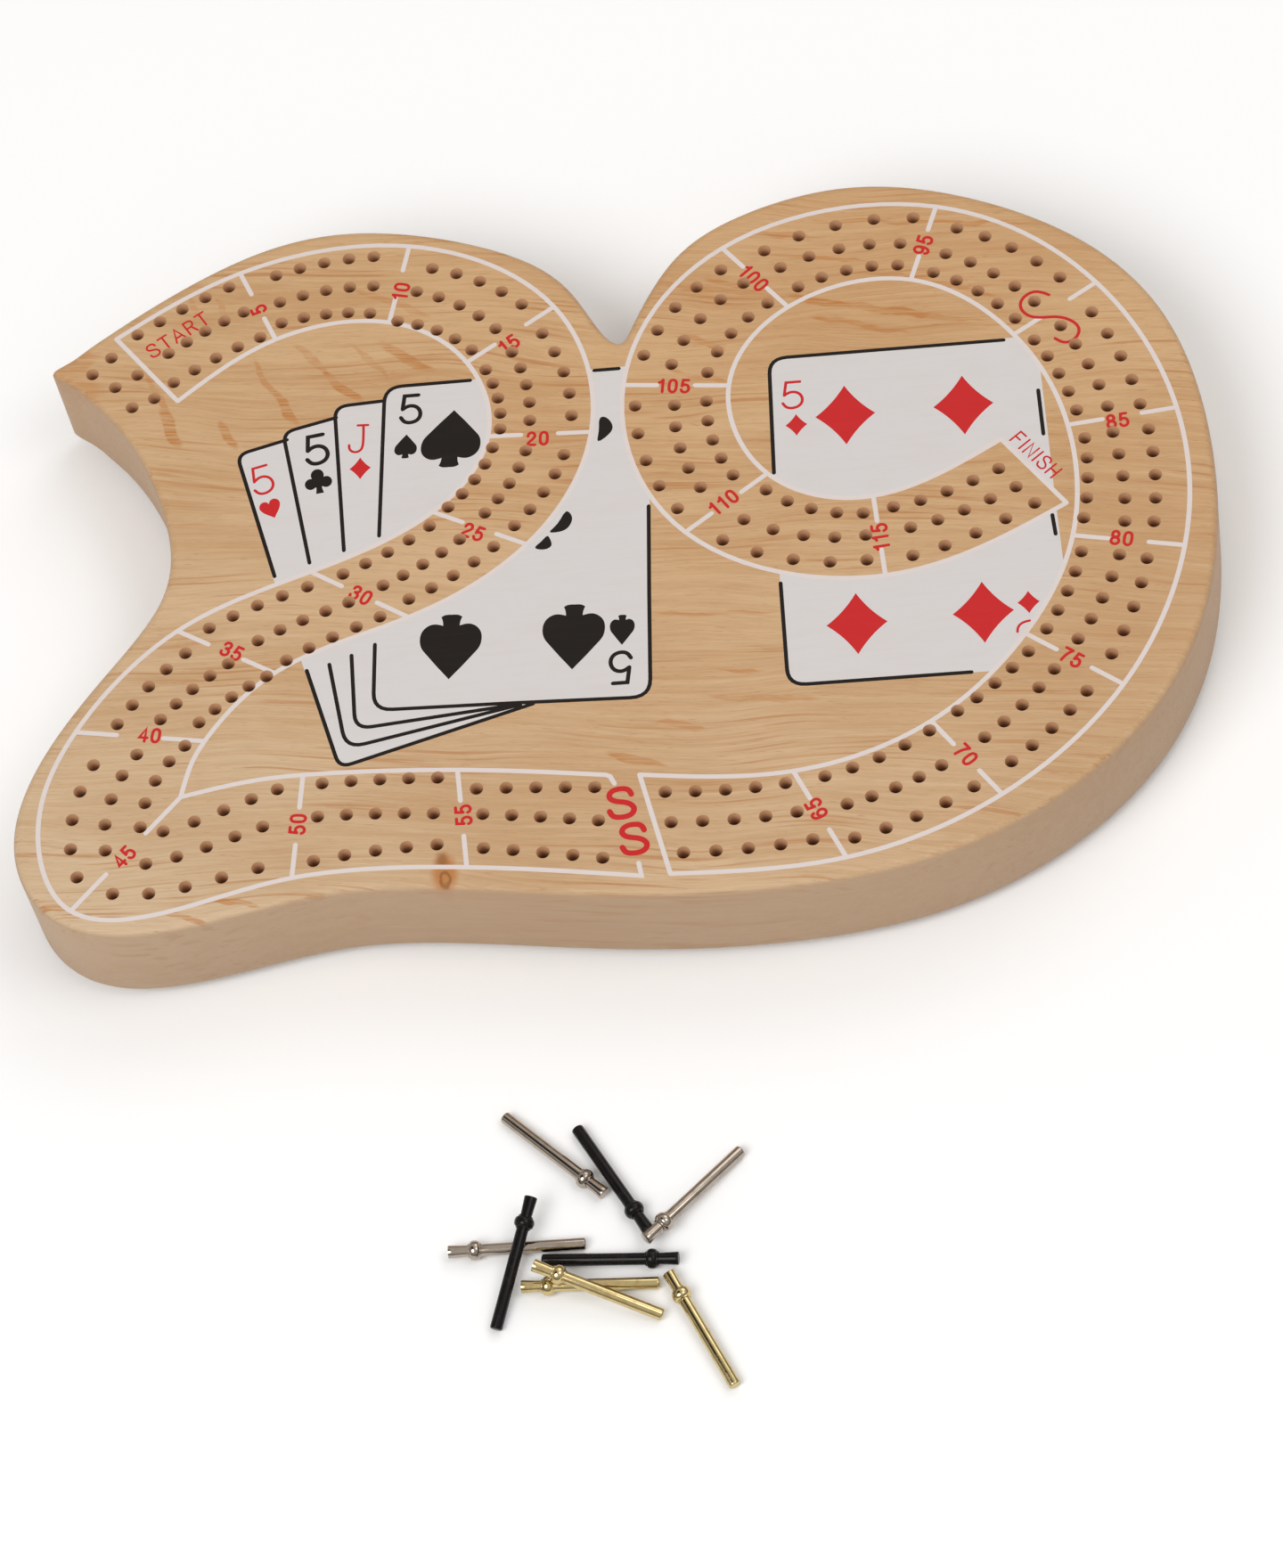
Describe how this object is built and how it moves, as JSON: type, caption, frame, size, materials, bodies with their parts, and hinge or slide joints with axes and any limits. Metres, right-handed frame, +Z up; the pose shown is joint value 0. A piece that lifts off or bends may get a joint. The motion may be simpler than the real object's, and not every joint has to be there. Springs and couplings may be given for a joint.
{
  "type": "cribbage board",
  "caption": "Wooden cribbage board cut to the outline of a 2 and a 9, with three lanes of drilled holes, a plate-covered peg pocket underneath, and a heap of turned metal pegs.",
  "frame": {"origin": "on the table under the middle of the box round the board and its heap of pegs", "axes": "+Z up, +Y towards the top of the figures, +X along the line of the figures towards the 9"},
  "size_m": [0.2866, 0.3018, 0.0321],
  "materials": {
    "board_wood": "satin clear lacquer over pale hardwood",
    "plated_steel": "plated",
    "nickel_silver": "polished nickel",
    "black_metal": "satin black",
    "polished_brass": "polished",
    "black_rubber": "matt"
  },
  "bodies": {
    "board": {"board": "board_wood", "plate_pivot_screw": "plated_steel", "plate_catch_screw": "plated_steel", "rubber_foot_1": "black_rubber", "rubber_foot_2": "black_rubber", "rubber_foot_3": "black_rubber", "rubber_foot_4": "black_rubber", "rubber_foot_5": "black_rubber"},
    "storage_plate": {"storage_plate": "plated_steel"},
    "silver_peg_1": {"silver_peg_1": "nickel_silver"},
    "silver_peg_2": {"silver_peg_2": "nickel_silver"},
    "silver_peg_3": {"silver_peg_3": "nickel_silver"},
    "black_peg_1": {"black_peg_1": "black_metal"},
    "black_peg_2": {"black_peg_2": "black_metal"},
    "black_peg_3": {"black_peg_3": "black_metal"},
    "gold_peg_1": {"gold_peg_1": "polished_brass"},
    "gold_peg_2": {"gold_peg_2": "polished_brass"},
    "gold_peg_3": {"gold_peg_3": "polished_brass"}
  },
  "joints": [
    {"name": "storage_plate_swing", "type": "hinge", "parent": "board", "child": "storage_plate", "pos_m": [0.0181, 0.05177, 0.0026], "axis": [0, 0, 1], "range_deg": [0, 110]},
    {"name": "silver_peg_1_lift", "type": "slide", "parent": "board", "child": "silver_peg_1", "axis": [0, 0, 1], "range_m": [0, 0.05]},
    {"name": "silver_peg_2_lift", "type": "slide", "parent": "black_peg_1", "child": "silver_peg_2", "axis": [0, 0, 1], "range_m": [0, 0.05]},
    {"name": "silver_peg_3_lift", "type": "slide", "parent": "board", "child": "silver_peg_3", "axis": [0, 0, 1], "range_m": [0, 0.05]},
    {"name": "black_peg_1_lift", "type": "slide", "parent": "board", "child": "black_peg_1", "axis": [0, 0, 1], "range_m": [0, 0.05]},
    {"name": "black_peg_2_lift", "type": "slide", "parent": "silver_peg_3", "child": "black_peg_2", "axis": [0, 0, 1], "range_m": [0, 0.05]},
    {"name": "black_peg_3_lift", "type": "slide", "parent": "board", "child": "black_peg_3", "axis": [0, 0, 1], "range_m": [0, 0.05]},
    {"name": "gold_peg_1_lift", "type": "slide", "parent": "board", "child": "gold_peg_1", "axis": [0, 0, 1], "range_m": [0, 0.05]},
    {"name": "gold_peg_2_lift", "type": "slide", "parent": "gold_peg_1", "child": "gold_peg_2", "axis": [0, 0, 1], "range_m": [0, 0.05]},
    {"name": "gold_peg_3_lift", "type": "slide", "parent": "board", "child": "gold_peg_3", "axis": [0, 0, 1], "range_m": [0, 0.05]}
  ]
}
